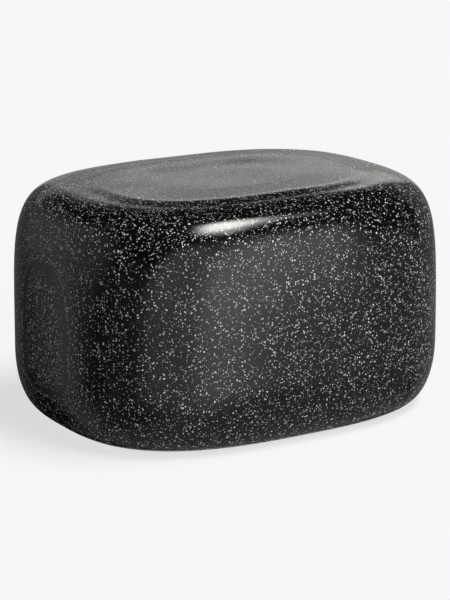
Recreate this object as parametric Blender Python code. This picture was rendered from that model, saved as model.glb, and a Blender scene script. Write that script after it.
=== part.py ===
"""Low pebble-shaped side table: a moulded speckled shell on a hidden timber core, with four screw levellers.

Metres, +Z up. The origin is on the floor, under the middle of the table. The long side lies along X,
and the front faces -Y. Run it with: blender --background --python part.py
"""

import math

import bpy
from mathutils import Matrix, Vector

# Overall form of the shell
LENGTH = 0.600  # across the belly, along X
DEPTH = 0.478  # across the belly, along Y
HEIGHT = 0.337  # floor to the rim of the top
FOOT_GAP = 0.003  # floor to the shell's ground foot
PLAN_POWER = 2.82  # superellipse power of every horizontal outline
BELLY_HEIGHT = 0.097  # floor to the widest outline
SHOULDER_RUN = 0.120  # belly outline to where the shoulder curve would end
SHOULDER_POWER = 4.7
HEEL_RUN = 0.043  # belly outline to where the lower curve would end
HEEL_POWER = 2.25
HEEL_CUT = math.radians(79)  # parameter of the lower curve where the foot is ground flat

# Shell wall, dished top and foot
WALL = 0.005
CROWN_WALL = 0.007  # laminate under the flat middle of the dish
RIM_INSET = 0.112  # belly outline to the dish's rim
RIDGE_RISE = 0.0022  # the rim above the shoulder's own curve
RIDGE_RUN = 0.035  # how far out from the rim the ridge dies away
DISH_DEPTH = 0.0025
DISH_FLAT = 0.42  # flat middle of the dish, as a share of its rim outline
FOOT_LAND = 0.014  # width of the flat ground foot

# Timber core
PANEL_THICKNESS = 0.015
RIB_THICKNESS = 0.012
TOP_PANEL_MARGIN = 0.014  # the top panel's edge inside the base opening, so that it can be passed in
RIB_TO_BLOCK = 0.004  # a rib's end to the side block in line with it
BLOCK_WIDTH = 0.060
BLOCK_DEPTH = 0.075  # how far a block reaches in from the wall, along its own direction
BLOCK_HEIGHT = 0.040
VENT_RADIUS = 0.005
VENT_POSITION = (0.060, 0.060)

# Levellers
LEVELLER_X = 0.150
LEVELLER_Y = 0.100
SOLE_THICKNESS = 0.002
SOLE_RADIUS = 0.0175
PAD_RADIUS = 0.018
PAD_NECK_RADIUS = 0.010
PAD_HEIGHT = 0.0057
PAD_WALL_HEIGHT = 0.0027  # height of the pad's straight side
STEM_RADIUS = 0.0039  # M8 thread, crest to crest
STEM_REACH = 0.036  # stem above its hexagon
STEM_CHAMFER = 0.0013
BUTTON_RADIUS = 0.007  # the stem's captive foot
BUTTON_HEIGHT = 0.0025
HEXAGON_ACROSS = 0.013
HEXAGON_HEIGHT = 0.004
RETRACT = 0.002  # travel from rest up to the insert
INSERT_RADIUS = 0.006
INSERT_LENGTH = 0.013
INSERT_FLANGE_RADIUS = 0.0095
INSERT_FLANGE = 0.0015

# Wood screws
SCREW_RADIUS = 0.002
SCREW_LENGTH = 0.035
SCREW_HEAD_RADIUS = 0.004
SCREW_TIP = 0.006
SCREW_TIP_RADIUS = 0.0005
SCREW_DRIVE_DEPTH = 0.0012
SCREW_DRIVE_LENGTH = 0.004
SCREW_DRIVE_WIDTH = 0.001
SCREW_FROM_EDGE = 0.018  # block screw to the base panel's edge
RIB_SCREW_MARGIN = 0.050  # rib screw to the rib's end

# Clearances and mesh fineness
GAP = 0.0003  # between pieces that touch
PASSING_GAP = 0.002  # base panel inside the base opening
OUTLINE_POINTS = 48
HEEL_STEPS = 7
SHOULDER_STEPS = 10
RIDGE_STEPS = 3
DISH_STEPS = 5
ROUND_POINTS = 20
SCREW_POINTS = 16
SHARP_ANGLE = math.radians(35)  # faces that meet at more than this keep a crisp edge
EPSILON = 0.002  # how far a cutter runs past what it cuts

# Heights that follow
FOOT_Z = FOOT_GAP
PAD_Z = SOLE_THICKNESS + GAP
HEXAGON_Z = PAD_Z + PAD_HEIGHT + GAP
BASE_Z = HEXAGON_Z + HEXAGON_HEIGHT + RETRACT + GAP
CORE_Z = BASE_Z + PANEL_THICKNESS + GAP
DISH_Z = HEIGHT - DISH_DEPTH
CEILING_Z = DISH_Z - CROWN_WALL
TOP_PANEL_Z = CEILING_Z - GAP - PANEL_THICKNESS
RIB_TOP_Z = TOP_PANEL_Z - GAP
RIB_MID_Z = (CORE_Z + RIB_TOP_Z) / 2

CORNERS = {"front_left": (-1, -1), "front_right": (1, -1), "rear_left": (-1, 1), "rear_right": (1, 1)}
SIDES = {"front": (0, -1), "rear": (0, 1), "left": (-1, 0), "right": (1, 0)}

FINISHES = {
    "speckled_gelcoat": ((0.012, 0.012, 0.013), 0.15, 0.0),
    "plywood": ((0.55, 0.38, 0.22), 0.70, 0.0),
    "timber": ((0.62, 0.44, 0.27), 0.75, 0.0),
    "black_board": ((0.030, 0.030, 0.032), 0.65, 0.0),
    "zinc_steel": ((0.62, 0.62, 0.60), 0.35, 1.0),
    "brass": ((0.70, 0.52, 0.24), 0.35, 1.0),
    "black_nylon": ((0.025, 0.025, 0.025), 0.50, 0.0),
    "rubber": ((0.040, 0.040, 0.040), 0.90, 0.0),
}


def clear_scene():
    for old in list(bpy.data.objects):
        bpy.data.objects.remove(old)


def finish(name):
    """The material of that name, made on its first use."""
    made = bpy.data.materials.get(name)
    if made is None:
        colour, roughness, metallic = FINISHES[name]
        made = bpy.data.materials.new(name)
        made.use_nodes = True
        shader = made.node_tree.nodes["Principled BSDF"]
        shader.inputs["Base Color"].default_value = (*colour, 1.0)
        shader.inputs["Roughness"].default_value = roughness
        shader.inputs["Metallic"].default_value = metallic
    return made


def add_object(name, points, faces, material, smooth=True):
    """A mesh object, shaded smooth apart from its sharp edges."""
    mesh = bpy.data.meshes.new(name)
    mesh.from_pydata([tuple(p) for p in points], [], faces)
    mesh.validate()
    if smooth:
        mesh.shade_smooth()
        mesh.set_sharp_from_angle(angle=SHARP_ANGLE)
    mesh.materials.append(finish(material))
    made = bpy.data.objects.new(name, mesh)
    bpy.context.scene.collection.objects.link(made)
    return made


def helper(obj):
    """Marks a cutter, which isn't a piece of the table."""
    obj.hide_render = True
    obj.display_type = "WIRE"
    return obj


def boolean(obj, other, operation):
    cut = obj.modifiers.new(f"{operation.lower()}_{other.name}", "BOOLEAN")
    cut.operation = operation
    cut.object = other
    cut.solver = "EXACT"


# ---------------------------------------------------------------- outlines and rings


def outline(half_x, half_y):
    """Points of the superellipse |x/half_x|^p + |y/half_y|^p = 1, counter-clockwise from +X."""
    points = []
    for i in range(OUTLINE_POINTS):
        angle = 2 * math.pi * i / OUTLINE_POINTS
        c, s = math.cos(angle), math.sin(angle)
        reach = (abs(c) ** PLAN_POWER + abs(s) ** PLAN_POWER) ** (-1 / PLAN_POWER)
        points.append((half_x * reach * c, half_y * reach * s))
    return points


def ring(inset, z):
    """The belly outline brought in by inset all round, at height z."""
    return [(x, y, z) for x, y in outline(LENGTH / 2 - inset, DEPTH / 2 - inset)]


def circle(radius, z, count=ROUND_POINTS, centre=(0.0, 0.0)):
    turns = [2 * math.pi * i / count for i in range(count)]
    return [(centre[0] + radius * math.cos(a), centre[1] + radius * math.sin(a), z) for a in turns]


def rings_mesh(rings):
    """Faces for a stack of equal rings, closed by a flat face at both ends. The first ring faces down."""
    count = len(rings[0])
    points = [p for each in rings for p in each]
    faces = [tuple(reversed(range(count)))]
    for level in range(len(rings) - 1):
        low, high = level * count, (level + 1) * count
        for i in range(count):
            j = (i + 1) % count
            faces.append((low + i, low + j, high + j, high + i))
    top = (len(rings) - 1) * count
    faces.append(tuple(range(top, top + count)))
    return points, faces


def add_stack(name, rings, material):
    points, faces = rings_mesh(rings)
    return add_object(name, points, faces, material)


def add_turned(name, profile, material, count=ROUND_POINTS):
    """A turned piece from (radius, z) pairs, bottom to top."""
    return add_stack(name, [circle(r, z, count) for r, z in profile], material)


def add_bar(name, half_size, centre, material, angle=0.0):
    """A rectangular bar, turned about Z by angle round its centre."""
    turn = Matrix.Translation(Vector(centre)) @ Matrix.Rotation(angle, 4, "Z")
    corners = [(-1, -1), (1, -1), (1, 1), (-1, 1)]
    rings = [
        [turn @ Vector((x * half_size[0], y * half_size[1], z * half_size[2])) for x, y in corners]
        for z in (-1, 1)
    ]
    points, faces = rings_mesh(rings)
    return add_object(name, points, faces, material, smooth=False)


# ---------------------------------------------------------------- the shell's side profile


def quarter(run, rise, power, angle):
    """(inset, climb, outward, upward) on a superellipse quarter from vertical (0) to horizontal (90 deg)."""
    across = max(math.cos(angle), 0.0) ** (2 / power)
    along = math.sin(angle) ** (2 / power)
    outward = across ** (power - 1) / run
    upward = along ** (power - 1) / rise
    length = math.hypot(outward, upward)
    return run * (1 - across), rise * along, outward / length, upward / length


def heel_profile():
    """Lower half of the wall, from the ground foot up to the belly: (inset, z, outward, upward)."""
    drop = (BELLY_HEIGHT - FOOT_Z) / math.sin(HEEL_CUT) ** (2 / HEEL_POWER)
    found = []
    for i in range(HEEL_STEPS):
        angle = HEEL_CUT * (1 - i / HEEL_STEPS)
        inset, climb, outward, upward = quarter(HEEL_RUN, drop, HEEL_POWER, angle)
        found.append((inset, BELLY_HEIGHT - climb, outward, -upward))
    return found


def ridge(inset):
    """How far the low ridge round the dish stands above the shoulder's curve."""
    share = max(0.0, 1 - (RIM_INSET - inset) / RIDGE_RUN)
    return RIDGE_RISE * share * share * (3 - 2 * share)


def shoulder_angle(inset):
    """Parameter of the shoulder's curve at a distance in from the belly outline."""
    return math.acos(((SHOULDER_RUN - inset) / SHOULDER_RUN) ** (SHOULDER_POWER / 2))


def shoulder_profile():
    """Upper half of the wall, from the belly to the rim of the dish."""
    ridge_start = RIM_INSET - RIDGE_RUN
    angles = [shoulder_angle(ridge_start) * i / SHOULDER_STEPS for i in range(SHOULDER_STEPS)]
    angles += [shoulder_angle(ridge_start + RIDGE_RUN * i / RIDGE_STEPS) for i in range(RIDGE_STEPS + 1)]
    rise = (HEIGHT - RIDGE_RISE - BELLY_HEIGHT) / math.sin(angles[-1]) ** (2 / SHOULDER_POWER)
    found = []
    for angle in angles:
        inset, climb, outward, upward = quarter(SHOULDER_RUN, rise, SHOULDER_POWER, angle)
        found.append((inset, BELLY_HEIGHT + climb + ridge(inset), outward, upward))
    return found


def wall_profile():
    return heel_profile() + shoulder_profile()


def dish_rings():
    """Rings of the dish, from just inside its rim to its flat middle."""
    rim = ring(RIM_INSET, HEIGHT)
    found = []
    for i in range(1, DISH_STEPS + 1):
        t = i / DISH_STEPS
        share = 1 - (1 - DISH_FLAT) * t
        z = HEIGHT - DISH_DEPTH * t * t * (3 - 2 * t)
        found.append([(x * share, y * share, z) for x, y, _ in rim])
    return found


def cavity_profile(shrink=0.0):
    """(inset, z) up the side of the hollow, from over the foot's flange to the edge of the flat ceiling."""
    offset = WALL + shrink
    low, high = FOOT_Z + WALL + shrink, CEILING_Z - shrink
    path = [(d + offset * out, z - offset * up) for d, z, out, up in wall_profile()]
    inside = [(d, z) for d, z in path if low < z < high]
    start = path[0] if path[0][1] >= low else inside[0]
    before = inside[-1]
    after = next((d, z) for d, z in path if z >= high)
    share = (high - before[1]) / (after[1] - before[1])
    end = (before[0] + share * (after[0] - before[0]), high)
    kept = [(d, z) for d, z in inside if z > low + GAP and z < high - GAP]
    return [(start[0], low), *kept, end]


def cavity_rings(shrink=0.0):
    """Rings of the hollow inside the wall."""
    return [ring(inset, z) for inset, z in cavity_profile(shrink)]


# ---------------------------------------------------------------- sizes inside the shell


def foot_inset():
    return heel_profile()[0][0]


def opening_half(margin=0.0):
    """Half sizes of the opening in the foot, less a margin."""
    inset = foot_inset() + FOOT_LAND + margin
    return LENGTH / 2 - inset, DEPTH / 2 - inset


def rib_half_lengths():
    inset = WALL + BLOCK_DEPTH + RIB_TO_BLOCK
    return LENGTH / 2 - inset, DEPTH / 2 - inset


# ---------------------------------------------------------------- the pieces


def make_shell():
    """One moulded wall: ground foot, heel, belly, shoulder and dish outside, and a hollow inside."""
    inset = foot_inset() + FOOT_LAND
    outer = [ring(inset, FOOT_Z)]
    outer += [ring(d, z) for d, z, _, _ in wall_profile()] + dish_rings()
    inner = cavity_rings()
    inner_up = [ring(inset, FOOT_Z + WALL)] + inner[1:]
    points, outer_faces = rings_mesh(outer)
    inner_points, inner_faces = rings_mesh(inner_up)
    count = OUTLINE_POINTS
    start = len(points)
    faces = outer_faces[1:]
    faces += [tuple(start + i for i in reversed(face)) for face in inner_faces[1:]]
    faces += [(start + i, start + (i + 1) % count, (i + 1) % count, i) for i in range(count)]
    return add_object("moulded_shell", points + inner_points, faces, "speckled_gelcoat")


def make_cavity():
    """The space that the fixing blocks are trimmed to."""
    return helper(add_stack("cavity_form", cavity_rings(GAP), "timber"))


def panel_rings(half_x, half_y, z):
    return [[(x, y, h) for x, y in outline(half_x, half_y)] for h in (z, z + PANEL_THICKNESS)]


def make_top_panel():
    """A board that passes through the foot's opening, and lies within the flat of the ceiling."""
    ceiling_edge = cavity_profile()[-1][0]
    inset = max(foot_inset() + FOOT_LAND + TOP_PANEL_MARGIN, ceiling_edge + GAP)
    half_x, half_y = LENGTH / 2 - inset, DEPTH / 2 - inset
    add_stack("top_core_panel", panel_rings(half_x, half_y, TOP_PANEL_Z), "plywood")


def rib_slot(name, low, high, along_x):
    """A cutter for one rib's half of the crossed joint."""
    wide = RIB_THICKNESS / 2 + GAP
    through = RIB_THICKNESS / 2 + EPSILON
    half = (wide, through) if along_x else (through, wide)
    return helper(add_bar(name, (*half, (high - low) / 2), (0, 0, (low + high) / 2), "plywood"))


def make_ribs():
    """Two upright boards, halved into each other where they cross."""
    half_x, half_y = rib_half_lengths()
    size_z = (RIB_TOP_Z - CORE_Z) / 2
    long_rib = add_bar("long_rib", (half_x, RIB_THICKNESS / 2, size_z), (0, 0, RIB_MID_Z), "plywood")
    cross_rib = add_bar("cross_rib", (RIB_THICKNESS / 2, half_y, size_z), (0, 0, RIB_MID_Z), "plywood")
    upper = rib_slot("upper_slot", RIB_MID_Z - GAP / 2, RIB_TOP_Z + EPSILON, True)
    lower = rib_slot("lower_slot", CORE_Z - EPSILON, RIB_MID_Z + GAP / 2, False)
    boolean(long_rib, upper, "DIFFERENCE")
    boolean(cross_rib, lower, "DIFFERENCE")
    for rib, sides in ((long_rib, ("left", "right")), (cross_rib, ("front", "rear"))):
        pilots = [(pilot_profile(), rib_screw_position(*SIDES[side])) for side in sides]
        boolean(rib, add_holes(f"{rib.name}_pilots", pilots), "DIFFERENCE")


def block_direction(x, y):
    """Unit vector from the middle of the table to a block."""
    half_x, half_y = opening_half()
    return Vector((x * half_x, y * half_y)).normalized()


def reach(half_x, half_y, direction):
    """Distance from the middle to a superellipse, along a unit vector."""
    p = PLAN_POWER
    return (abs(direction.x / half_x) ** p + abs(direction.y / half_y) ** p) ** (-1 / p)


def block_screw_position(x, y):
    direction = block_direction(x, y)
    half_x, half_y = opening_half(PASSING_GAP)
    return direction * (reach(half_x, half_y, direction) - SCREW_FROM_EDGE)


def rib_screw_position(x, y):
    half_x, half_y = rib_half_lengths()
    return Vector((x * (half_x - RIB_SCREW_MARGIN), y * (half_y - RIB_SCREW_MARGIN)))


def make_block(name, x, y, cavity):
    """A timber block bonded to the wall: its outer face follows the inside of the shell."""
    direction = block_direction(x, y)
    wall = reach(LENGTH / 2 - WALL, DEPTH / 2 - WALL, direction)
    middle = direction * (wall - BLOCK_DEPTH / 2 + EPSILON)
    half = (BLOCK_DEPTH / 2 + EPSILON, BLOCK_WIDTH / 2, BLOCK_HEIGHT / 2)
    centre = (middle.x, middle.y, CORE_Z + BLOCK_HEIGHT / 2)
    block = add_bar(name, half, centre, "timber", math.atan2(direction.y, direction.x))
    boolean(block, cavity, "INTERSECT")
    pilot = add_holes(f"{name}_pilot", [(pilot_profile(), block_screw_position(x, y))])
    boolean(block, pilot, "DIFFERENCE")


def make_blocks(cavity):
    for place, (x, y) in CORNERS.items():
        make_block(f"corner_block_{place}", x, y, cavity)
    for place, (x, y) in SIDES.items():
        make_block(f"side_block_{place}", x, y, cavity)


def add_holes(name, holes, count=SCREW_POINTS):
    """One cutter for several round holes, each a (profile, position) pair."""
    points, faces = [], []
    for profile, centre in holes:
        more, more_faces = rings_mesh([circle(r, z, count, centre) for r, z in profile])
        faces += [tuple(len(points) + i for i in face) for face in more_faces]
        points += more
    return helper(add_object(name, points, faces, "timber"))


def pilot_profile():
    """The blind hole that a screw from below runs into."""
    radius = SCREW_RADIUS + GAP
    return [(radius, CORE_Z - EPSILON), (radius, BASE_Z + SCREW_LENGTH + GAP)]


def screw_hole_profile():
    """The countersunk hole through the base panel."""
    shank = SCREW_RADIUS + GAP
    head = SCREW_HEAD_RADIUS + GAP
    return [
        (head, BASE_Z - EPSILON),
        (head, BASE_Z + GAP),
        (shank, BASE_Z + GAP + head - shank),
        (shank, CORE_Z + EPSILON),
    ]


def insert_hole_profile():
    """The stepped hole that holds an insert nut, flush with the base panel's underside."""
    flange = INSERT_FLANGE_RADIUS + GAP
    barrel = INSERT_RADIUS + GAP
    shoulder = BASE_Z + INSERT_FLANGE + GAP
    return [
        (flange, BASE_Z - EPSILON),
        (flange, shoulder),
        (barrel, shoulder),
        (barrel, CORE_Z + EPSILON),
    ]


def leveller_position(x, y):
    return Vector((x * LEVELLER_X, y * LEVELLER_Y))


def screw_positions():
    """Every wood screw's name and position: one for each block, and two for each rib."""
    found = {f"block_screw_{k}": block_screw_position(x, y) for k, (x, y) in {**CORNERS, **SIDES}.items()}
    found.update({f"rib_screw_{k}": rib_screw_position(x, y) for k, (x, y) in SIDES.items()})
    return found


def make_base_panel():
    half_x, half_y = opening_half(PASSING_GAP)
    panel = add_stack("base_panel", panel_rings(half_x, half_y, BASE_Z), "black_board")
    small = [(screw_hole_profile(), position) for position in screw_positions().values()]
    small.append(([(VENT_RADIUS, BASE_Z - EPSILON), (VENT_RADIUS, CORE_Z + EPSILON)], VENT_POSITION))
    boolean(panel, add_holes("small_holes", small), "DIFFERENCE")
    stepped = [(insert_hole_profile(), leveller_position(x, y)) for x, y in CORNERS.values()]
    boolean(panel, add_holes("insert_holes", stepped, ROUND_POINTS), "DIFFERENCE")


def screw_mesh():
    """A countersunk wood screw, head down at its origin."""
    radius, head = SCREW_RADIUS, SCREW_HEAD_RADIUS
    profile = [
        (head, 0),
        (radius, head - radius),
        (radius, SCREW_LENGTH - SCREW_TIP),
        (SCREW_TIP_RADIUS, SCREW_LENGTH),
    ]
    return rings_mesh([circle(r, z, SCREW_POINTS) for r, z in profile])


def make_screw(name, position):
    points, faces = screw_mesh()
    screw = add_object(name, points, faces, "zinc_steel")
    screw.location = (position[0], position[1], BASE_Z)
    for turn, axis in enumerate(("x", "y")):
        half = (SCREW_DRIVE_LENGTH / 2, SCREW_DRIVE_WIDTH / 2, SCREW_DRIVE_DEPTH)
        drive = add_bar(f"{name}_drive_{axis}", half, (0, 0, 0), "zinc_steel", turn * math.pi / 2)
        drive.location = screw.location
        boolean(screw, helper(drive), "DIFFERENCE")


def make_screws():
    for name, position in screw_positions().items():
        make_screw(name, position)


def tube_rings(outer, inner):
    """A turned tube: its outer profile bottom to top, then its inner profile top to bottom."""
    rings = [circle(r, z) for r, z in outer] + [circle(r, z) for r, z in reversed(inner)]
    count = ROUND_POINTS
    points = [p for each in rings for p in each]
    faces = []
    for level in range(len(rings)):
        low, high = level * count, (level + 1) % len(rings) * count
        faces += [(low + i, low + (i + 1) % count, high + (i + 1) % count, high + i) for i in range(count)]
    return points, faces


def add_tube(name, outer, inner, material, position):
    points, faces = tube_rings(outer, inner)
    made = add_object(name, points, faces, material)
    made.location = (position[0], position[1], 0)
    return made


def make_insert(place, position):
    """A flanged insert nut with a running thread for the stem."""
    outer = [
        (INSERT_FLANGE_RADIUS, BASE_Z),
        (INSERT_FLANGE_RADIUS, BASE_Z + INSERT_FLANGE),
        (INSERT_RADIUS, BASE_Z + INSERT_FLANGE),
        (INSERT_RADIUS, BASE_Z + INSERT_LENGTH),
    ]
    bore = STEM_RADIUS + GAP
    inner = [(bore, BASE_Z), (bore, BASE_Z + INSERT_LENGTH)]
    add_tube(f"insert_nut_{place}", outer, inner, "brass", position)


def make_stem(place, position):
    """The leveller's stem: captive button, neck, hexagon and thread, turning on its own axis."""
    button_z = PAD_Z + GAP
    top = HEXAGON_Z + HEXAGON_HEIGHT + STEM_REACH
    profile = [
        (BUTTON_RADIUS, button_z),
        (BUTTON_RADIUS, button_z + BUTTON_HEIGHT),
        (STEM_RADIUS, button_z + BUTTON_HEIGHT),
        (STEM_RADIUS, top - STEM_CHAMFER),
        (STEM_RADIUS - STEM_CHAMFER, top),
    ]
    stem = add_turned(f"leveller_stem_{place}", profile, "zinc_steel")
    stem.location = (position[0], position[1], 0)
    corner = HEXAGON_ACROSS / math.sqrt(3)
    nut = [circle(corner, z, 6) for z in (HEXAGON_Z, HEXAGON_Z + HEXAGON_HEIGHT)]
    hexagon = helper(add_stack(f"hexagon_{place}", nut, "zinc_steel"))
    hexagon.location = stem.location
    boolean(stem, hexagon, "UNION")


def make_pad(place, position):
    """The round foot, with a stepped bore that holds the stem's button."""
    outer = [
        (PAD_RADIUS, PAD_Z),
        (PAD_RADIUS, PAD_Z + PAD_WALL_HEIGHT),
        (PAD_NECK_RADIUS, PAD_Z + PAD_HEIGHT),
    ]
    pocket = BUTTON_RADIUS + GAP
    neck = STEM_RADIUS + GAP
    ledge = PAD_Z + BUTTON_HEIGHT + 2 * GAP
    inner = [(pocket, PAD_Z), (pocket, ledge), (neck, ledge), (neck, PAD_Z + PAD_HEIGHT)]
    add_tube(f"leveller_pad_{place}", outer, inner, "black_nylon", position)


def make_sole(place, position):
    sole = add_turned(f"leveller_sole_{place}", [(SOLE_RADIUS, 0), (SOLE_RADIUS, SOLE_THICKNESS)], "rubber")
    sole.location = (position[0], position[1], 0)


def make_levellers():
    for place, (x, y) in CORNERS.items():
        position = leveller_position(x, y)
        make_insert(place, position)
        make_stem(place, position)
        make_pad(place, position)
        make_sole(place, position)


def main():
    clear_scene()
    make_shell()
    make_top_panel()
    make_ribs()
    make_blocks(make_cavity())
    make_base_panel()
    make_screws()
    make_levellers()


main()
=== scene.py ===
"""Looks of a low pebble-shaped side table: a speckled moulded shell on a timber core with screw levellers."""

import logging
import math
from dataclasses import dataclass, field
from enum import Enum
from typing import Any, ClassVar

import bpy
import numpy as np
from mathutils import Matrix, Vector


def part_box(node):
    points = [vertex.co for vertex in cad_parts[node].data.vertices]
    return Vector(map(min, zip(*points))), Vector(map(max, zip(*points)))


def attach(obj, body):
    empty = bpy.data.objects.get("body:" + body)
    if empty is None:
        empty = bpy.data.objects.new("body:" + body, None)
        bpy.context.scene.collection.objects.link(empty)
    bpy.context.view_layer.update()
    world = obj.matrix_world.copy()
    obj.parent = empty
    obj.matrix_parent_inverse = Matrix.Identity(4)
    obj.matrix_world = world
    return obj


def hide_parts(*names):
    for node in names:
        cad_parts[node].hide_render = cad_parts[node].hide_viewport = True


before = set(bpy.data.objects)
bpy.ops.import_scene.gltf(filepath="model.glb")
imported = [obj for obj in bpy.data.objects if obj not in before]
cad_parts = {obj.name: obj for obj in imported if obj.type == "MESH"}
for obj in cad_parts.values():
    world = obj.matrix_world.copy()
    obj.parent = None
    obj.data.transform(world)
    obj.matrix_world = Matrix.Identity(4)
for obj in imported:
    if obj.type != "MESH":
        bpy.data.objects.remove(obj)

LOG = logging.getLogger("side_table")
TABLE_BODY = "table"
CORNERS = ("front_left", "front_right", "rear_left", "rear_right")
SIDES = ("front", "rear", "left", "right")
FULL_TURN = 2 * math.pi
SHARP_ANGLE = math.radians(38)  # edges that turn further stay sharp

Array = np.ndarray
Surface = tuple[Array, list[Array]]  # (n, 3) vertices, and arrays of faces
Link = Any  # a node socket, a Value or a plain number, colour or vector
Colour = tuple[float, float, float]
Stops = tuple[tuple[float, Colour], ...]  # a ramp's (place, colour) pairs, in order


# ---------------------------------------------------------------- shader building


class Value:
    """A number socket of a node tree, on which arithmetic adds Math nodes."""

    def __init__(self, bench: "Bench", socket: bpy.types.NodeSocket) -> None:
        """Wraps a socket.

        Args:
            bench: the bench whose tree the socket is in.
            socket: the output that carries the number.
        """
        self.bench = bench
        self.socket = socket

    def math(self, operation: str, *others: Link) -> "Value":
        """Adds one Math node.

        Args:
            operation: the node's operation, such as MULTIPLY.
            others: its further inputs, after this one.

        Returns:
            The node's result.
        """
        return self.bench.math(operation, self, *others)

    def __add__(self, other: Link) -> "Value":
        """This plus other."""
        return self.math("ADD", other)

    __radd__ = __add__

    def __sub__(self, other: Link) -> "Value":
        """This minus other."""
        return self.math("SUBTRACT", other)

    def __rsub__(self, other: Link) -> "Value":
        """Other minus this."""
        return self.bench.math("SUBTRACT", other, self)

    def __mul__(self, other: Link) -> "Value":
        """This times other."""
        return self.math("MULTIPLY", other)

    __rmul__ = __mul__

    def __truediv__(self, other: Link) -> "Value":
        """This over other."""
        return self.math("DIVIDE", other)

    def __pow__(self, other: Link) -> "Value":
        """This to the power of other."""
        return self.math("POWER", other)

    def __lt__(self, other: Link) -> "Value":
        """1 where this is less than other, and 0 elsewhere."""
        return self.math("LESS_THAN", other)

    def __abs__(self) -> "Value":
        """The size of this, without its sign."""
        return self.math("ABSOLUTE")

    def at_least(self, other: Link) -> "Value":
        """The larger of this and other."""
        return self.math("MAXIMUM", other)

    def ease(self, low: Link, high: Link) -> "Value":
        """A smooth step from 0 to 1.

        Args:
            low: where the step leaves 0.
            high: where it reaches 1.

        Returns:
            The stepped value.
        """
        settings = {"interpolation_type": "SMOOTHSTEP"}
        values = {"Value": self, "From Min": low, "From Max": high, "To Min": 0.0, "To Max": 1.0}
        return Value(self.bench, self.bench.node("ShaderNodeMapRange", settings, values).outputs["Result"])


class Bench:
    """A node tree under construction, for a material or for the world."""

    def __init__(self, tree: bpy.types.NodeTree) -> None:
        """Empties the tree.

        Args:
            tree: the tree to build in.
        """
        self.tree = tree
        tree.nodes.clear()

    def node(self, kind: str, settings: dict[str, Any], values: dict[str | int, Link]) -> bpy.types.Node:
        """Adds a node.

        Args:
            kind: the node's type.
            settings: its settings, and for a ramp its "stops" as (place, colour) pairs.
            values: a number, colour, vector or link for each socket, by name or by number.

        Returns:
            The node.
        """
        made = self.tree.nodes.new(kind)
        for name, setting in settings.items():
            if name == "stops":
                self._set_stops(made.color_ramp, setting)
            else:
                setattr(made, name, setting)
        for name, value in values.items():
            self.join(value, made.inputs[name])
        return made

    @staticmethod
    def _set_stops(ramp: bpy.types.ColorRamp, stops: Stops) -> None:
        """Gives a ramp its stops."""
        while len(ramp.elements) < len(stops):
            ramp.elements.new(1.0)
        for element, (place, colour) in zip(ramp.elements, stops, strict=True):
            element.position = place
            element.color = (*colour, 1.0)

    def join(self, value: Link, socket: bpy.types.NodeSocket) -> None:
        """Links or sets one input.

        Args:
            value: what goes in.
            socket: the input.
        """
        if isinstance(value, Value):
            value = value.socket
        if isinstance(value, bpy.types.NodeSocket):
            self.tree.links.new(value, socket)
        elif isinstance(value, tuple) and socket.type == "RGBA":
            socket.default_value = (*value, 1.0)
        else:
            socket.default_value = value

    def math(self, operation: str, *values: Link) -> Value:
        """Adds a Math node.

        Args:
            operation: its operation.
            values: its inputs, in order.

        Returns:
            Its result.
        """
        made = self.node("ShaderNodeMath", {"operation": operation}, dict(enumerate(values)))
        return Value(self, made.outputs[0])

    def vector(self, operation: str, *values: Link) -> bpy.types.NodeSocket:
        """Adds a Vector Math node.

        Args:
            operation: its operation.
            values: its inputs, in order.

        Returns:
            Its vector output.
        """
        made = self.node("ShaderNodeVectorMath", {"operation": operation}, dict(enumerate(values)))
        return made.outputs["Vector"]

    def dot(self, one: Link, other: Link) -> Value:
        """The dot product of two vectors, as a number."""
        made = self.node("ShaderNodeVectorMath", {"operation": "DOT_PRODUCT"}, {0: one, 1: other})
        return Value(self, made.outputs["Value"])

    def mix(self, share: Link, first: Link, second: Link) -> bpy.types.NodeSocket:
        """Mixes two colours.

        Args:
            share: how much of the second there is, from 0 to 1.
            first: the first colour.
            second: the second colour.

        Returns:
            The mixed colour.
        """
        made = self.node("ShaderNodeMix", {"data_type": "RGBA"}, {"Factor": share, 6: first, 7: second})
        return made.outputs[2]

    def ramp(self, at: Link, stops: Stops) -> bpy.types.NodeSocket:
        """The colour at a place along a ramp."""
        return self.node("ShaderNodeValToRGB", {"stops": stops}, {0: at}).outputs["Color"]

    def parts(self, vector: Link) -> list[Value]:
        """The X, Y and Z of a vector."""
        made = self.node("ShaderNodeSeparateXYZ", {}, {0: vector})
        return [Value(self, output) for output in made.outputs]

    def place(self, scale: Colour = (1, 1, 1)) -> bpy.types.NodeSocket:
        """Object coordinates, in metres, with each axis scaled.

        Args:
            scale: the factor along each axis.

        Returns:
            The coordinates.
        """
        made = self.node("ShaderNodeTexCoord", {}, {}).outputs["Object"]
        if scale == (1, 1, 1):
            return made
        return self.vector("MULTIPLY", made, scale)

    def noise(self, at: Link, size: float, detail: float = 2.0, rough: float = 0.5) -> Value:
        """Cloudy noise.

        Args:
            at: the coordinates it is read at.
            size: about how far apart its humps are, in metres.
            detail: how many finer layers it has.
            rough: how strong the finer layers are.

        Returns:
            The noise, from 0 to 1 and mostly near 0.5.
        """
        values = {"Vector": at, "Scale": 1 / size, "Detail": detail, "Roughness": rough}
        return Value(self, self.node("ShaderNodeTexNoise", {}, values).outputs[0])

    def bump(self, height: Link, depth: float) -> bpy.types.NodeSocket:
        """A normal tilted by a height.

        Args:
            height: the height, where 1 stands depth above 0.
            depth: that distance in metres.

        Returns:
            The normal.
        """
        values = {"Height": height, "Distance": depth, "Strength": 1.0}
        return self.node("ShaderNodeBump", {}, values).outputs["Normal"]


# ---------------------------------------------------------------- finishes


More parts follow.
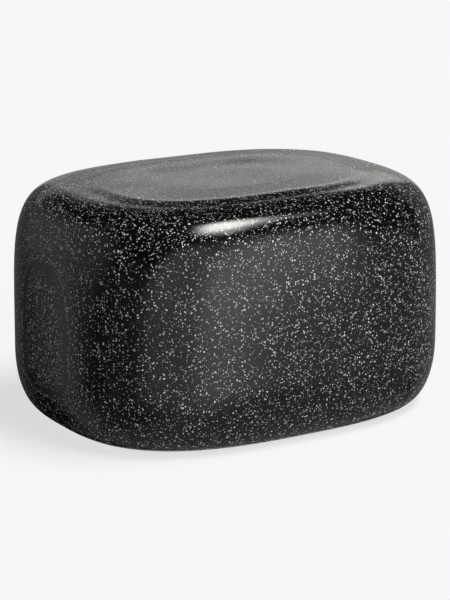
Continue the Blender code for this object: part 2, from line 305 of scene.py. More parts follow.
@dataclass(frozen=True)
class Finish:
    """A material, whose shader inputs each kind of finish works out."""

    name: str

    def inputs(self, bench: Bench) -> dict[str, Link]:
        """The Principled shader's inputs, by name."""
        raise NotImplementedError

    def make(self) -> bpy.types.Material:
        """Builds the material.

        Returns:
            The material.
        """
        made = bpy.data.materials.new(self.name)
        made.use_nodes = True
        bench = Bench(made.node_tree)
        shader = bench.node("ShaderNodeBsdfPrincipled", {}, {"IOR": 1.5, **self.inputs(bench)})
        bench.node("ShaderNodeOutputMaterial", {}, {"Surface": shader.outputs[0]})
        return made


@dataclass(frozen=True)
class Chips:
    """One size of stone chip in the gelcoat: balls cut off by their neighbours, which leaves them angular."""

    spacing: float  # metres from chip centre to chip centre
    radius: float  # largest radius, metres
    smallest: float  # smallest radius, as a share of the largest
    share: float  # how many of the places hold a chip
    strength: float  # how solid the chip looks
    edge: float = 0.06  # softness of its outline, as a share of the spacing

    def mask(self, bench: Bench, at: Link) -> tuple[Value, Value]:
        """Where the chips are.

        Args:
            bench: the material's bench.
            at: warped object coordinates.

        Returns:
            How much chip there is, and a random number for each chip.
        """
        cells = bench.node("ShaderNodeTexVoronoi", {}, {"Vector": at, "Scale": 1 / self.spacing})
        parts = bench.node("ShaderNodeSeparateColor", {}, {0: cells.outputs["Color"]})
        chosen, size, tint = (Value(bench, output) for output in parts.outputs)
        largest = self.radius / self.spacing
        reach = (size * size * (1 - self.smallest) + self.smallest) * largest
        distance = Value(bench, cells.outputs["Distance"])
        inside = 1 - (distance - reach).ease(-self.edge, self.edge)
        return inside * (chosen < self.share) * self.strength, tint


@dataclass(frozen=True)
class SpeckledGelcoat(Finish):
    """Black gelcoat with crushed cream, beige and white chips, polished, with a painted sheen in the dish:
    its ground greyed in cloudy patches and its chips dimmed.
    """

    rim_half: tuple[float, float]  # half sizes of the dish's rim
    rim_height: float
    plan_power: float
    ground: Colour = (0.0045, 0.0045, 0.0048)
    painted_sheen: Colour = (0.052, 0.049, 0.047)  # painted sheen: the grey laid over the dish's black ground
    sizes: tuple[Chips, ...] = (
        Chips(0.0038, 0.0014, 0.55, 0.22, 1.0),
        Chips(0.0027, 0.0011, 0.55, 0.24, 1.0),
        Chips(0.0018, 0.0007, 0.55, 0.20, 0.85),
    )
    stone: Stops = (  # beige, cream and white
        (0.0, (0.40, 0.385, 0.375)),
        (0.25, (0.67, 0.645, 0.63)),
        (0.55, (0.86, 0.835, 0.825)),
        (0.8, (0.93, 0.91, 0.905)),
        (1.0, (0.97, 0.96, 0.96)),
    )
    crush_size: float = 0.002  # of the humps that push the chips' outlines about
    crush: float = 0.0003  # how far they push
    relief: float = 0.00006

    def in_dish(self, bench: Bench) -> Value:
        """1 inside the dish's rim, which is a superellipse in plan, and 0 outside it and below."""
        x, y, z = bench.parts(bench.place())
        across = abs(x) * (1 / self.rim_half[0])
        along = abs(y) * (1 / self.rim_half[1])
        outline = across**self.plan_power + along**self.plan_power
        return (1 - outline.ease(0.9, 1.0)) * z.ease(self.rim_height - 0.017, self.rim_height - 0.007)

    def inputs(self, bench: Bench) -> dict[str, Link]:
        """Chips over black, a painted sheen that greys the dish's ground in cloudy patches and dims its
        chips, and a slight orange peel.
        """
        place = bench.place()
        values = {"Vector": place, "Scale": 1 / self.crush_size, "Detail": 2.0}
        swirl = bench.node("ShaderNodeTexNoise", {}, values).outputs["Color"]
        centred = bench.vector("SUBTRACT", swirl, (0.5, 0.5, 0.5))
        shift = bench.vector("MULTIPLY", centred, (self.crush,) * 3)
        at = bench.vector("ADD", place, shift)
        dish_mask = self.in_dish(bench)
        # painted sheen: the dish's black ground is greyed in cloudy patches, standing in for the top's
        # grazing reflection
        painted_sheen_blotches = bench.noise(place, 0.016, 4.0, 0.65).ease(0.35, 0.7)
        colour = bench.mix(dish_mask * (painted_sheen_blotches * 0.8 + 0.1), self.ground, self.painted_sheen)
        cover: Link = 0.0
        for layer in self.sizes:
            mask, tint = layer.mask(bench, at)
            # painted shade: chips inside the dish are dimmed by up to 30 percent
            mask = mask * (1 - dish_mask * 0.3)
            colour = bench.mix(mask, colour, bench.ramp(tint, self.stone))
            cover = mask.at_least(cover)
        peel = bench.noise(place, 0.010, 2.0, 0.45)
        grain = bench.noise(place, 0.0012, 1.0, 0.5)
        polish = bench.noise(place, 0.03, 3.0, 0.6) * 0.05 + 0.075
        return {
            "Base Color": colour,
            "Roughness": polish + cover * 0.06 + dish_mask * 0.05,
            "Normal": bench.bump(peel * 0.55 + grain * 0.10 + cover * 0.10, self.relief),
        }


@dataclass(frozen=True)
class TrimmedEdge(Finish):
    """The shell's cut laminate edge: pale resin and glass, chipped and dusty."""

    laminate: Stops = (
        (0.0, (0.06, 0.058, 0.054)),
        (0.4, (0.36, 0.335, 0.30)),
        (0.7, (0.72, 0.69, 0.63)),
        (1.0, (0.88, 0.86, 0.81)),
    )

    def inputs(self, bench: Bench) -> dict[str, Link]:
        """Dark resin to bare glass in patches, with a fine tooth."""
        patches = bench.noise(bench.place(), 0.006, 3.0, 0.7)
        tooth = bench.noise(bench.place(), 0.0012, 2.0, 0.6)
        return {
            "Base Color": bench.ramp(patches * 0.7 + tooth * 0.4, self.laminate),
            "Roughness": tooth * 0.2 + 0.65,
            "Normal": bench.bump(tooth, 0.0002),
        }


class Axis(Enum):
    """A direction of the table's frame."""

    X = 0
    Y = 1
    Z = 2

    def stretch(self, factor: float) -> Colour:
        """Scales that draw a pattern out along this axis, which is divided by factor."""
        x, y, z = (1 / factor if self.value == i else 1.0 for i in range(3))
        return (x, y, z)


@dataclass(frozen=True)
class Plywood(Finish):
    """Birch plywood: long grain on the faces and stacked veneers on the edges."""

    grain: Axis  # the faces' grain runs along it
    through: Axis  # the veneers are stacked along it
    veneer: float = 0.0014
    birch: Stops = ((0.25, (0.44, 0.29, 0.16)), (0.5, (0.60, 0.43, 0.26)), (0.8, (0.71, 0.54, 0.35)))
    end_grain: Colour = (0.24, 0.14, 0.07)

    def inputs(self, bench: Bench) -> dict[str, Link]:
        """Figure and pores drawn out along the grain, and every other veneer dark on the edges."""
        long = bench.place(self.grain.stretch(14))
        figure = bench.noise(long, 0.010, 4.0, 0.6)
        pores = bench.noise(long, 0.0011, 1.0, 0.5)
        depth = bench.parts(bench.place())[self.through.value]
        layer = (depth * (1 / self.veneer)).math("FLOOR").math("PINGPONG", 1.0)
        normal = bench.node("ShaderNodeNewGeometry", {}, {}).outputs["True Normal"]
        edge = 1 - abs(bench.parts(normal)[self.through.value]).ease(0.5, 0.8)
        face = bench.ramp(figure * 0.85 + pores * 0.15, self.birch)
        return {
            "Base Color": bench.mix(layer * edge * 0.6, face, self.end_grain),
            "Roughness": figure * 0.15 + 0.6,
            "Normal": bench.bump(pores * 0.6 + figure * 0.4, 0.00012),
        }


@dataclass(frozen=True)
class SawnTimber(Finish):
    """Sawn softwood: growth rings in pale and brown bands, with saw fuzz."""

    grain: Axis
    softwood: Stops = ((0.0, (0.72, 0.54, 0.33)), (0.6, (0.62, 0.42, 0.23)), (1.0, (0.42, 0.24, 0.11)))

    def inputs(self, bench: Bench) -> dict[str, Link]:
        """Rings about the grain's axis, drawn out along it and a little distorted."""
        long = bench.place(self.grain.stretch(10))
        drift = bench.noise(long, 0.030, 2.0, 0.5)
        values = {"Vector": long, "Scale": 55.0, "Distortion": 3.0, "Detail": 2.0}
        settings = {"wave_type": "RINGS", "rings_direction": self.grain.name}
        rings = Value(bench, bench.node("ShaderNodeTexWave", settings, values).outputs[1])
        fuzz = bench.noise(bench.place(), 0.0009, 2.0, 0.6)
        return {
            "Base Color": bench.ramp(rings * 0.7 + drift * 0.3, self.softwood),
            "Roughness": fuzz * 0.15 + 0.7,
            "Normal": bench.bump(fuzz * 0.7 + rings * 0.3, 0.00025),
        }


@dataclass(frozen=True)
class PaintedBoard(Finish):
    """Plywood rolled with matt black paint: faint grain shows through it, and dust lies on it in patches."""

    paint: Colour = (0.022, 0.022, 0.023)
    dust: Colour = (0.16, 0.15, 0.14)

    def inputs(self, bench: Bench) -> dict[str, Link]:
        """Paint with dust on it, over the grain and the roller's stipple."""
        grain = bench.noise(bench.place(Axis.X.stretch(12)), 0.006, 3.0, 0.6)
        stipple = bench.noise(bench.place(), 0.0022, 2.0, 0.5)
        dusty = bench.noise(bench.place(), 0.09, 4.0, 0.6).ease(0.45, 0.75)
        return {
            "Base Color": bench.mix(dusty * 0.25 + grain * 0.12, self.paint, self.dust),
            "Roughness": stipple * 0.2 + 0.5,
            "Normal": bench.bump(grain * 0.5 + stipple * 0.5, 0.0002),
        }


class Plating(Enum):
    """Metals of the hardware, as bright and dull colours."""

    ZINC = ((0.66, 0.67, 0.68), (0.42, 0.43, 0.43))
    BRASS = ((0.74, 0.56, 0.27), (0.42, 0.29, 0.12))


@dataclass(frozen=True)
class HardwareMetal(Finish):
    """Small plated or turned hardware: fine turning marks, dull patches and worn gloss."""

    plating: Plating

    def inputs(self, bench: Bench) -> dict[str, Link]:
        """Dull patches over bright metal, with turning marks stacked up the axis."""
        bright, dull = self.plating.value
        patches = bench.noise(bench.place(), 0.004, 3.0, 0.6)
        turning = bench.noise(bench.place((0.2, 0.2, 1.0)), 0.00025, 1.0, 0.5)
        return {
            "Base Color": bench.mix(patches.ease(0.35, 0.7), bright, dull),
            "Metallic": 1.0,
            "Roughness": patches * 0.2 + turning * 0.08 + 0.18,
            "Normal": bench.bump(turning, 0.00001),
        }


@dataclass(frozen=True)
class MouldedNylon(Finish):
    """Black nylon with a spark-eroded mould grain, scuffed grey where it rubs."""

    nylon: Colour = (0.020, 0.020, 0.021)
    rubbed: Colour = (0.11, 0.11, 0.11)

    def inputs(self, bench: Bench) -> dict[str, Link]:
        """Mould grain, and scuffs drawn out up the side."""
        grain = bench.noise(bench.place(), 0.0006, 2.0, 0.6)
        scuff = bench.noise(bench.place((1.0, 1.0, 0.3)), 0.005, 4.0, 0.7).ease(0.52, 0.75)
        return {
            "Base Color": bench.mix(scuff * 0.35, self.nylon, self.rubbed),
            "Roughness": grain * 0.15 + 0.42,
            "Normal": bench.bump(grain, 0.00006),
        }


@dataclass(frozen=True)
class SoleRubber(Finish):
    """Matt rubber with a bloom of dust."""

    rubber: Colour = (0.028, 0.028, 0.028)
    dust: Colour = (0.13, 0.125, 0.12)

    def inputs(self, bench: Bench) -> dict[str, Link]:
        """Cloudy bloom over rubber with a fine grain."""
        bloom = bench.noise(bench.place(), 0.006, 4.0, 0.65).ease(0.4, 0.8)
        grain = bench.noise(bench.place(), 0.0005, 2.0, 0.5)
        return {
            "Base Color": bench.mix(bloom * 0.4, self.rubber, self.dust),
            "Roughness": grain * 0.1 + 0.82,
            "Normal": bench.bump(grain, 0.0001),
        }


@dataclass(frozen=True)
class StudioFloor(Finish):
    """Plain pale floor, which mostly glows so that it is even, and is matt so that it takes a soft shadow."""

    def inputs(self, bench: Bench) -> dict[str, Link]:
        """The same all over."""
        return {
            "Base Color": (0.30, 0.30, 0.30),
            "Roughness": 0.9,
            "Specular IOR Level": 0.0,
            "Emission Color": (1.0, 1.0, 1.0),
            "Emission Strength": 0.68,
        }


# ---------------------------------------------------------------- surfaces


def turns(count: int) -> Array:
    """Evenly spaced angles round a full turn, without the last."""
    return np.arange(count) * (FULL_TURN / count)


def blend_step(x: Array) -> Array:
    """A smooth step: 3x^2 - 2x^3 between 0 and 1, and level outside."""
    t = np.clip(x, 0.0, 1.0)
    return t * t * (3 - 2 * t)


def rounded(corners: Array, radius: float, steps: int = 5, closed: bool = False) -> Array:
    """Rounds the corners of a flat outline.

    Each corner gives way to a parabola that leaves the two sides at the same distance from the corner: the
    radius or, on a short side, just under half that side.

    Args:
        corners: (n, 2) points.
        radius: how far from its corner each curve starts.
        steps: points on each curve.
        closed: whether the last point joins the first. The ends of an open outline stay sharp.

    Returns:
        The (m, 2) rounded points.
    """
    before = np.roll(corners, 1, 0) - corners
    after = np.roll(corners, -1, 0) - corners
    size = [np.linalg.norm(side, axis=1, keepdims=True) for side in (before, after)]
    cut = np.minimum(radius, 0.49 * np.minimum(*size))
    start, end = corners + before / size[0] * cut, corners + after / size[1] * cut
    t = np.linspace(0, 1, steps)[None, :, None]
    curve = (1 - t) ** 2 * start[:, None] + 2 * t * (1 - t) * corners[:, None] + t**2 * end[:, None]
    if closed:
        return curve.reshape(-1, 2)
    return np.vstack([corners[:1], curve[1:-1].reshape(-1, 2), corners[-1:]])


def thread_wave(z: Array, pitch: float, columns: int) -> Array:
    """1 on a thread's crest and 0 in its root: a saw-tooth of height over pitch, less the share of a turn."""
    return np.abs(((z / pitch - turns(columns) / FULL_TURN) % 1.0) * 2 - 1)


def add_piece(name: str, surface: Surface, body: str, material: bpy.types.Material) -> bpy.types.Object:
    """Adds a smooth-shaded mesh that rides on a body.

    Args:
        name: the piece's name.
        surface: its vertices in the table's frame, and its faces.
        body: the body that it moves with.
        material: its finish.

    Returns:
        The new object.
    """
    points, faces = surface
    mesh = bpy.data.meshes.new(name)
    mesh.from_pydata(points.tolist(), [], [face for each in faces for face in each.tolist()])
    mesh.shade_smooth()
    mesh.set_sharp_from_angle(angle=SHARP_ANGLE)
    mesh.materials.append(material)
    made = bpy.data.objects.new(name, mesh)
    bpy.context.scene.collection.objects.link(made)
    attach(made, body)
    LOG.info("%s: %d faces on %s", name, len(mesh.polygons), body)
    return made


def band_faces(rows: int, columns: int, first: int = 0, wrap_rows: bool = False) -> Array:
    """Quads of a grid that closes round its columns.

    Args:
        rows: grid rows.
        columns: points in each row.
        first: the number of the grid's first vertex.
        wrap_rows: whether the last row joins the first.

    Returns:
        (n, 4) vertex numbers, facing out when rows climb and columns run counter-clockwise.
    """
    low = np.arange(rows if wrap_rows else rows - 1)[:, None] * columns
    high = (low + columns) % (rows * columns)
    here = np.arange(columns)[None, :]
    there = (here + 1) % columns
    return first + np.stack([low + here, low + there, high + there, high + here], axis=-1).reshape(-1, 4)


def capped(grid: Array, start: Array, end: Array) -> Surface:
    """A closed surface: a grid of rings with a point at each end.

    Args:
        grid: (rows, columns, 3) points.
        start: the point that closes the first ring.
        end: the point that closes the last ring.

    Returns:
        Its vertices and faces.
    """
    rows, columns = grid.shape[:2]
    points = np.vstack([start[None], grid.reshape(-1, 3), end[None]])
    here = np.arange(columns)
    there = (here + 1) % columns
    first, last = np.zeros(columns, int), np.full(columns, rows * columns + 1)
    top = 1 + (rows - 1) * columns
    fans = [np.stack([first, 1 + there, 1 + here], 1), np.stack([top + here, top + there, last], 1)]
    return points, [band_faces(rows, columns, 1), *fans]


def lathe(profile: Array, count: int, centre: Array) -> Array:
    """Turns a profile about an upright axis: (r cos a, r sin a, z) for each angle a.

    Args:
        profile: (n, 2) radius and height.
        count: points round the turn.
        centre: (x, y) of the axis.

    Returns:
        (n, count, 3) points.
    """
    a = turns(count)
    x = centre[0] + profile[:, :1] * np.cos(a)
    y = centre[1] + profile[:, :1] * np.sin(a)
    return np.stack([x, y, np.broadcast_to(profile[:, 1:], x.shape)], axis=-1)


def box_of(node: str) -> tuple[Array, Array]:
    """Lowest and highest corner of a CAD node."""
    low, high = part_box(node)
    return np.array(low), np.array(high)


def dress(node: str, material: bpy.types.Material) -> None:
    """Gives a CAD node its finish.

    Args:
        node: the node.
        material: its finish.
    """
    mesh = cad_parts[node].data
    mesh.materials.clear()
    mesh.materials.append(material)
    LOG.info("%s: CAD node in %s", node, material.name)


# ---------------------------------------------------------------- the shell


@dataclass
class MouldedShell:
    """The one-piece shell, with the hand of its maker in it: outlines are never quite true."""

    plan_power: float = 2.82
    belly_height: float = 0.094  # above the foot
    shoulder_run: float = 0.120
    shoulder_power: float = 4.7
    heel_run: float = 0.043
    heel_power: float = 2.25
    heel_cut: float = math.radians(79)
    rim_inset: float = 0.112
    ridge_rise: float = 0.0022  # the rim above the shoulder's own curve
    ridge_run: float = 0.035
    dish_depth: float = 0.0025
    dish_flat: float = 0.42
    foot_land: float = 0.014
    wall: float = 0.005
    crown_wall: float = 0.007
    columns: int = 384
    heel_rings: int = 34
    shoulder_rings: int = 124
    dish_rings: int = 56
    land_rings: int = 5
    fine_points: int = 4000  # on the shoulder's curve before it is spaced evenly
    foot_fade: float = 0.02  # height over which the waver comes in
    middle_fade: float = 0.05  # distance from the dish's middle over which it comes in
    low: Array = field(default_factory=lambda: box_of("moulded_shell")[0])
    high: Array = field(default_factory=lambda: box_of("moulded_shell")[1])
    waves: ClassVar[Array] = np.array(  # slope along X, Y and Z in radians per metre, phase, and height in mm
        [
            (17.0, 9.0, 6.0, 0.4, 0.30),
            (-11.0, 23.0, 9.0, 1.9, 0.26),
            (21.0, -14.0, 24.0, 3.1, 0.20),
            (38.0, 12.0, -19.0, 0.7, 0.10),
            (-27.0, 41.0, 33.0, 5.2, 0.08),
            (63.0, -35.0, 21.0, 2.6, 0.035),
            (-48.0, -71.0, 44.0, 4.4, 0.030),
        ]
    )

    def rim_half(self) -> tuple[float, float]:
        """Half sizes of the dish's rim along X and Y."""
        x, y = (self.high - self.low)[:2] / 2 - self.rim_inset
        return float(x), float(y)

    def quarter(self, run: float, rise: float, power: float, angle: Array) -> Array:
        """A superellipse quarter, from upright at angle 0 to level at a right angle.

        The way in is run (1 - cos^(2/power)) and the climb is rise sin^(2/power).

        Args:
            run: the whole way in.
            rise: the whole climb.
            power: the superellipse's power.
            angle: the parameter.

        Returns:
            (n, 2) way in and climb.
        """
        across = np.maximum(np.cos(angle), 0.0) ** (2 / power)
        along = np.sin(angle) ** (2 / power)
        return np.stack([run * (1 - across), rise * along], axis=1)

    def side_profile(self, heel_steps: int, shoulder_steps: int) -> Array:
        """The wall from the ground foot to the rim of the dish.

        Args:
            heel_steps: points below the belly.
            shoulder_steps: points above it.

        Returns:
            (n, 2) inset from the belly outline, and height above the floor.
        """
        foot = self.low[2]
        drop = self.belly_height / math.sin(self.heel_cut) ** (2 / self.heel_power)
        heel = np.linspace(self.heel_cut, 0, heel_steps)[:-1]
        lower = self.quarter(self.heel_run, -drop, self.heel_power, heel)
        last = math.acos((1 - self.rim_inset / self.shoulder_run) ** (self.shoulder_power / 2))
        climb = self.high[2] - self.ridge_rise - foot - self.belly_height
        rise = climb / math.sin(last) ** (2 / self.shoulder_power)
        angles = np.linspace(0, last, self.fine_points)
        fine = self.quarter(self.shoulder_run, rise, self.shoulder_power, angles)
        fine[:, 1] += self.ridge_rise * blend_step(1 - (self.rim_inset - fine[:, 0]) / self.ridge_run)
        travel = np.concatenate([[0], np.cumsum(np.linalg.norm(np.diff(fine, axis=0), axis=1))])
        even = np.linspace(0, travel[-1], shoulder_steps)
        upper = np.stack([np.interp(even, travel, fine[:, 0]), np.interp(even, travel, fine[:, 1])], axis=1)
        both = np.vstack([lower, upper])
        return both + [0.0, foot + self.belly_height]

    def outline(self, inset: Array, height: Array, a: Array) -> Array:
        """Points on the belly outline, which is a superellipse, brought in by an inset.

        Its reach at angle a is (|cos a|^p + |sin a|^p)^(-1/p), times the half length along X and the
        half depth along Y.

        Args:
            inset: how far in, at each angle or one for each ring.
            height: their height, likewise.
            a: the angles.

        Returns:
            (..., 3) points.
        """
        p = self.plan_power
        reach = (np.abs(np.cos(a)) ** p + np.abs(np.sin(a)) ** p) ** (-1 / p)
        half = (self.high - self.low)[:2] / 2
        x = (half[0] - inset) * reach * np.cos(a)
        y = (half[1] - inset) * reach * np.sin(a)
        return np.stack([x, y, np.broadcast_to(height, x.shape)], axis=-1)

    def rings(self, profile: Array) -> Array:
        """A ring of points for each (inset, height) of a profile."""
        return self.outline(profile[:, :1], profile[:, 1:], turns(self.columns))

    def dish(self, rim: Array, steps: int) -> Array:
        """The dish: the rim drawn in towards the middle, and sunk by a smooth step down to the flat.

        Args:
            rim: (columns, 3) points of the rim.
            steps: rings.

        Returns:
            (steps, columns, 3) points, from just inside the rim to near the middle.
        """
        share = np.linspace(1, 0, steps + 1, endpoint=False)[1:]
        sink = self.dish_depth * blend_step((1 - share) / (1 - self.dish_flat))
        found = rim[None] * share[:, None, None]
        found[..., 2] = self.high[2] - sink[:, None]
        return found

    def waver(self, points: Array) -> Array:
        """How far a hand-finished face stands proud of true, in metres.

        It is a sum of smooth waves, each the sine of a slanted coordinate, with lengths from 60 mm to 300 mm.

        Args:
            points: (..., 3) points.

        Returns:
            The height at each point.
        """
        phase = points @ self.waves[:, :3].T + self.waves[:, 3]
        return (np.sin(phase) @ self.waves[:, 4]) * 0.001

    def build(self, material: bpy.types.Material) -> None:
        """One closed surface: ceiling, inside, foot, outside and dish.

        Args:
            material: the shell's finish.
        """
        side = self.side_profile(self.heel_rings, self.shoulder_rings)
        outer = self.rings(side)
        dish = self.dish(outer[-1], self.dish_rings)
        inset, foot, count = side[0, 0], self.low[2], self.land_rings
        across = np.linspace(inset + self.foot_land, inset, count, endpoint=False)
        land = self.rings(np.stack([across, np.full(count, foot)], axis=1))
        outside = np.concatenate([outer, dish])
        outside = outside + self.normals(outside) * (self.waver(outside) * self.fade(outside))[..., None]
        inside = self.rings(self.inner_profile())[::-1]
        flange = self.rings(np.array([[inset + self.foot_land, foot + self.wall]]))
        grid = np.concatenate([inside, flange, land, outside])
        ceiling = np.array([0.0, 0.0, self.ceiling()])
        middle = np.array([0.0, 0.0, outside[-1, :, 2].mean()])
        made = add_piece("shell", capped(grid, ceiling, middle), TABLE_BODY, material)
        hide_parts("moulded_shell")

    def ceiling(self) -> float:
        """Height of the flat inside of the top."""
        return self.high[2] - self.dish_depth - self.crown_wall

    def inner_profile(self) -> Array:
        """The hollow's side, from the foot's flange up to the ceiling and in across it.

        Returns:
            (n, 2) inset from the belly outline, and height above the floor.
        """
        side = self.side_profile(8, 30)
        step = np.gradient(side, axis=0)
        step /= np.linalg.norm(step, axis=1, keepdims=True)
        inner = side + self.wall * np.stack([step[:, 1], step[:, 0]], axis=1) * [1, -1]
        flange, ceiling, gap = self.low[2] + self.wall, self.ceiling(), 0.001
        inner = inner[(inner[:, 1] > flange + gap) & (inner[:, 1] < ceiling - gap)]
        edge = inner[-1, 0] + 4 * gap
        across = np.stack([np.linspace(edge, 0.2, 6)[1:], np.full(5, ceiling)], axis=1)
        return np.vstack([[inner[0, 0] + gap, flange], inner, [edge, ceiling], across])

    @staticmethod
    def normals(grid: Array) -> Array:
        """Outward unit normals of a grid of rings, from its differences along and across."""
        along = np.gradient(grid, axis=0)
        across = np.roll(grid, -1, 1) - np.roll(grid, 1, 1)
        found = np.cross(across, along)
        return found / np.maximum(np.linalg.norm(found, axis=2, keepdims=True), 1e-12)

    def fade(self, grid: Array) -> Array:
        """Full waver on the walls, and none at the ground foot or in the very middle of the dish."""
        above = blend_step((grid[..., 2] - self.low[2]) / self.foot_fade)
        from_middle = blend_step(np.linalg.norm(grid[..., :2], axis=-1) / self.middle_fade)
        return above * from_middle


@dataclass
class FootTrim:
    """The ragged lip left where the shell was trimmed off at its foot."""

    shell: MouldedShell
    columns: int = 2200
    height: float = 0.0034  # where the lip is whole
    ragged: float = 0.0024  # how much higher its chips reach
    proud: float = 0.0009
    tuck: float = 0.0015  # how far it runs in under the foot
    lap: float = 0.0012  # how far its top edge runs back into the shell
    lobes: tuple[tuple[float, float], ...] = ((7, 1.0), (11, 2.0))  # waves round the foot, and phase
    chips: tuple[tuple[float, float], ...] = ((61, 0.0), (97, 1.3), (173, 0.4), (419, 2.2))

    def raggedness(self, a: Array) -> Array:
        """Chips along the lip: broad lobes, which are a product of sines, plus a sum of fine sines.

        Args:
            a: angles round the foot.

        Returns:
            The raggedness, from 0 to 1.6.
        """
        broad = np.prod([np.sin(waves * a + phase) for waves, phase in self.lobes], axis=0)
        fine = np.sum([np.sin(waves * a + phase) for waves, phase in self.chips], axis=0)
        return np.clip(0.45 + 0.25 * broad + 0.20 * fine, 0.0, 1.6)

    def build(self, material: bpy.types.Material) -> None:
        """A thin band of five-sided section that follows the foot's outline.

        Its corners are given by inset and height: under the foot, at its edge, half way up the lip, at
        the lip's top, and behind it.

        Args:
            material: the cut edge's finish.
        """
        shell = self.shell
        side = shell.side_profile(60, 4)
        foot, inset = shell.low[2], side[0, 0]
        a = turns(self.columns)
        lip = self.height + self.ragged * self.raggedness(a) ** 2
        along = np.interp(foot + lip, side[:, 1], side[:, 0])
        ground = np.full_like(a, foot)
        section = [
            (np.full_like(a, inset + self.tuck), ground),
            (np.full_like(a, inset - self.proud), ground),
            (inset + 0.45 * (along - inset) - self.proud * 1.3, foot + lip * 0.5),
            (along - self.proud * 0.5, foot + lip),
            (along + self.lap, foot + lip * 0.9),
        ]
        grid = np.stack([shell.outline(d, z, a) for d, z in section])
        faces = [band_faces(len(section), self.columns, wrap_rows=True)]
        made = add_piece("foot_trim", (grid.reshape(-1, 3), faces), TABLE_BODY, material)


# ---------------------------------------------------------------- the core


@dataclass(frozen=True)
class TimberCore:
    """The boards and blocks inside the shell, and the panel that closes it."""

    top: Finish = Plywood("core_plywood", Axis.X, Axis.Z)
    long_rib: Finish = Plywood("long_rib_plywood", Axis.X, Axis.Y)
    cross_rib: Finish = Plywood("cross_rib_plywood", Axis.Y, Axis.X)
    base: Finish = PaintedBoard("painted_board")
    sawn_along_x: Finish = SawnTimber("timber_along_x", Axis.X)
    sawn_along_y: Finish = SawnTimber("timber_along_y", Axis.Y)

    def build(self) -> None:
        """Dresses every board and block."""
        dress("top_core_panel", self.top.make())
        dress("long_rib", self.long_rib.make())
        dress("cross_rib", self.cross_rib.make())
        dress("base_panel", self.base.make())
        along_x, along_y = self.sawn_along_x.make(), self.sawn_along_y.make()
        for corner in CORNERS:
            dress(f"corner_block_{corner}", along_x)
        for side in SIDES:
            dress(f"side_block_{side}", along_y if side in ("left", "right") else along_x)


@dataclass
class WoodScrew:
    """A countersunk cross-head screw, head down."""

    node: str
    columns: int = 48
    head_radius: float = 0.004
    head_edge: float = 0.00025  # height of the head's thin upright edge
    face_share: float = 0.97  # how much of the head's radius is flat
    face_rings: int = 18
    shank_radius: float = 0.002
    rolled_share: float = 0.96  # radius of the rolled shank, of the shank's under the head
    recess_depth: float = 0.0016
    recess_reach: float = 0.0021
    recess_half_width: float = 0.00055
    recess_wall: float = 0.0002  # run of the slope on each side of an arm
    recess_end: float = 0.0009  # run of the slope at an arm's end
    point: float = 0.007  # length of the point
    blunt: float = 0.08  # radius at the tip, as a share
    plain: float = 0.35  # how much of the length, from the head, has no thread
    thread_cut: float = 0.28  # depth of the thread, as a share of the radius
    pitch: float = 0.0018
    rings_per_pitch: int = 6

    def recess(self, x: Array, y: Array) -> Array:
        """Depth of the cross: two arms, each falling off with distance across and along it.

        Args:
            x: distance from the axis along one arm.
            y: distance from the axis along the other.

        Returns:
            The depth.
        """
        arms = [
            np.clip((self.recess_half_width - np.abs(across)) / self.recess_wall, 0, 1)
            * np.clip((self.recess_reach - np.abs(along)) / self.recess_end, 0, 1)
            for along, across in ((x, y), (y, x))
        ]
        return self.recess_depth * np.maximum(*arms)

    def profile(self, length: float) -> Array:
        """Radius and height from the head's middle to the point.

        Args:
            length: the screw's whole length.

        Returns:
            (n, 2) radius and height above the head's face.
        """
        across = np.linspace(0.0002, self.head_radius * self.face_share, self.face_rings)
        face = np.stack([across, np.zeros(self.face_rings)], axis=1)
        countersunk = self.head_edge + self.head_radius - self.shank_radius
        neck = np.array([(self.head_radius, self.head_edge), (self.shank_radius, countersunk)])
        z = np.arange(countersunk + 0.001, length - 0.0005, self.pitch / self.rings_per_pitch)
        taper = np.clip((length - z) / self.point, self.blunt, 1.0)
        shank = np.stack([self.shank_radius * self.rolled_share * taper, z], axis=1)
        return np.vstack([face, neck, shank])

    def build(self, material: bpy.types.Material) -> None:
        """Head face, countersink, threaded shank and point, as one turned surface.

        The thread is a saw-tooth of height over pitch less the share of a turn, taken off the radius.

        Args:
            material: the plating.
        """
        low, high = box_of(self.node)
        centre = (low + high)[:2] / 2
        length = high[2] - low[2]
        profile = self.profile(length)
        grid = lathe(profile, self.columns, centre)
        local = grid[..., :2] - centre
        threaded = (profile[:, 1:] > length * self.plain).astype(float)
        cut = self.thread_cut * threaded * (1 - thread_wave(profile[:, 1:], self.pitch, self.columns))
        grid[..., :2] = centre + local * (1 - cut)[..., None]
        on_face = (np.arange(len(profile)) < self.face_rings)[:, None]
        grid[..., 2] += np.where(on_face, self.recess(local[..., 0], local[..., 1]), 0.0) + low[2]
        first = np.array([*centre, low[2] + self.recess_depth])
        last = np.array([*centre, high[2]])
        made = add_piece(f"{self.node}_detailed", capped(grid, first, last), TABLE_BODY, material)
        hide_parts(self.node)


# ---------------------------------------------------------------- the levellers


